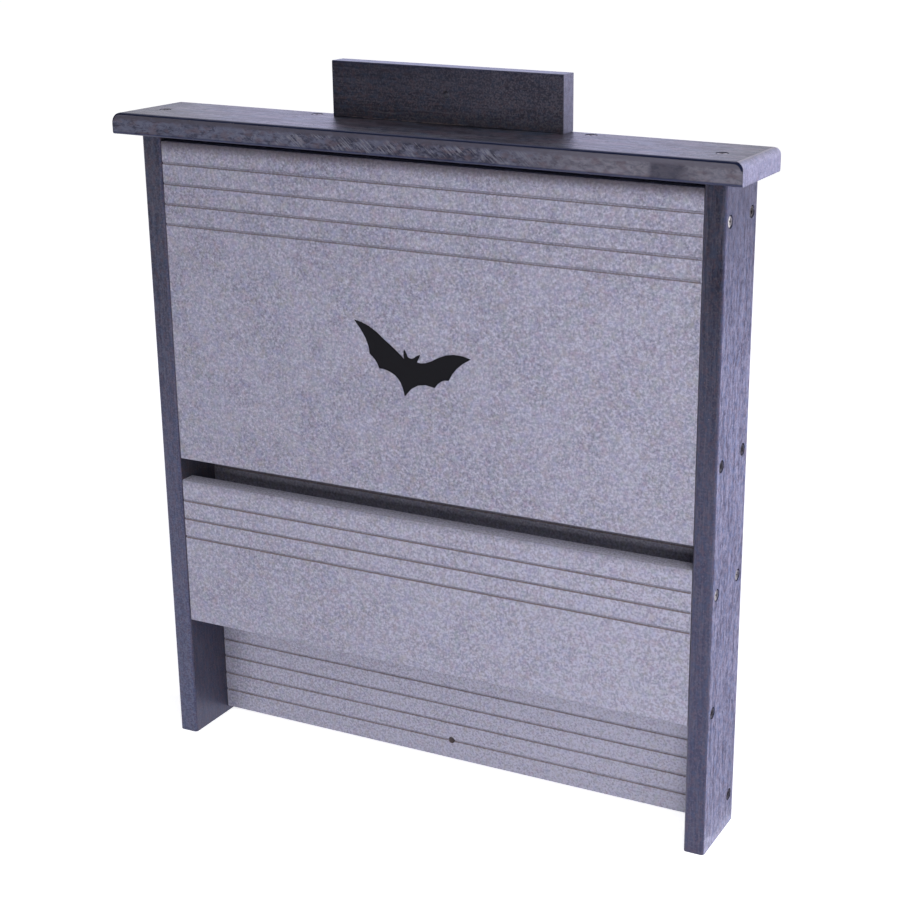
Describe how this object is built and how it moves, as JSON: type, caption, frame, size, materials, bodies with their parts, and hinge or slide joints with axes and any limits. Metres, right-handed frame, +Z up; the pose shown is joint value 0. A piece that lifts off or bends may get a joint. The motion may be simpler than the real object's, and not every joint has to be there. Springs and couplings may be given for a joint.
{
  "type": "bat box",
  "caption": "Wall-hung bat roost: a shallow open-bottomed box with a vent slot, grooved landing panel, overhanging roof and a hanging board on top.",
  "frame": {"origin": "on the surface it stands on, under the middle of the bounding box", "axes": "+Z up the box, +Y towards the wall it hangs on (front faces -Y), +X to the right seen from the front"},
  "size_m": [0.5868, 0.0888, 0.6511],
  "materials": {
    "black_board": "charcoal recycled-plastic board with fine brushed streaks along its length, satin",
    "grey_panel": "light grey recycled-plastic sheet with a fine pebbled speckle, matte",
    "black_film": "thin black film, satin",
    "screw_steel": "plain steel wood screws, dulled"
  },
  "bodies": {
    "root": {"left_side_board": "black_board", "right_side_board": "black_board", "roof_board": "black_board", "hanging_board": "black_board", "upper_front_panel": "grey_panel", "lower_front_panel": "grey_panel", "back_panel": "grey_panel", "bat_emblem": "black_film", "left_front_screw_1": "screw_steel", "left_front_screw_2": "screw_steel", "left_front_screw_3": "screw_steel", "left_front_screw_4": "screw_steel", "left_back_screw_1": "screw_steel", "left_back_screw_2": "screw_steel", "left_back_screw_3": "screw_steel", "left_back_screw_4": "screw_steel", "right_front_screw_1": "screw_steel", "right_front_screw_2": "screw_steel", "right_front_screw_3": "screw_steel", "right_front_screw_4": "screw_steel", "right_back_screw_1": "screw_steel", "right_back_screw_2": "screw_steel", "right_back_screw_3": "screw_steel", "right_back_screw_4": "screw_steel", "roof_back_screw_left": "screw_steel", "roof_back_screw_right": "screw_steel", "roof_side_screw_left": "screw_steel", "roof_side_screw_right": "screw_steel", "hanger_screw_left": "screw_steel", "hanger_screw_right": "screw_steel"}
  },
  "joints": []
}
